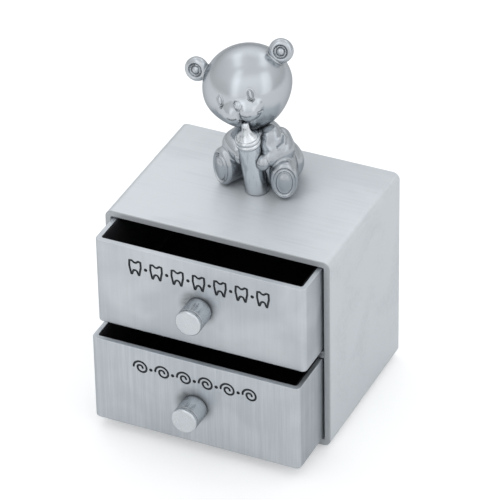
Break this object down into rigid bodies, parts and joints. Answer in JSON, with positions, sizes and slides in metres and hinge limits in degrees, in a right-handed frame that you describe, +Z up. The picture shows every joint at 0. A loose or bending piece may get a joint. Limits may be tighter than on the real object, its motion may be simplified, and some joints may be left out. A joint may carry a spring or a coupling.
{
  "type": "baby tooth box",
  "caption": "Small metal keepsake chest with stacked sliding drawers, turned knobs, lined insides, and a seated teddy bear with a feeding bottle on its lid.",
  "frame": {"origin": "middle of the felt pad's underside, on the surface that the chest stands on", "axes": "+Z up, +X to the right across the front, -Y the way the drawers open"},
  "size_m": [0.057, 0.0611, 0.0903],
  "materials": {
    "case_metal": "brushed pewter plate with a soft satin sheen",
    "drawer_metal": "brushed pewter plate, engraving darkened",
    "knob_metal": "turned pewter plate, satin",
    "bear_metal": "polished cast pewter, dark in the creases",
    "screw_steel": "plain zinc-plated",
    "drawer_velvet": "black velvet",
    "base_felt": "black felt"
  },
  "bodies": {
    "chest": {"case_shell": "case_metal", "back_panel": "case_metal", "middle_shelf": "case_metal", "base_felt": "base_felt", "bear_body": "bear_metal", "bear_head": "bear_metal", "feeding_bottle": "bear_metal", "bear_screws": "screw_steel"},
    "upper_tray": {"upper_drawer": "drawer_metal", "upper_knob": "knob_metal", "upper_knob_screw": "screw_steel", "upper_floor_lining": "drawer_velvet", "upper_wall_lining": "drawer_velvet"},
    "lower_tray": {"lower_drawer": "drawer_metal", "lower_knob": "knob_metal", "lower_knob_screw": "screw_steel", "lower_floor_lining": "drawer_velvet", "lower_wall_lining": "drawer_velvet"}
  },
  "joints": [
    {"name": "upper_drawer_slide", "type": "slide", "parent": "chest", "child": "upper_tray", "axis": [0, -1, 0], "range_m": [-0.0096, 0.0221]},
    {"name": "lower_drawer_slide", "type": "slide", "parent": "chest", "child": "lower_tray", "axis": [0, -1, 0], "range_m": [-0.0133, 0.0184]}
  ]
}
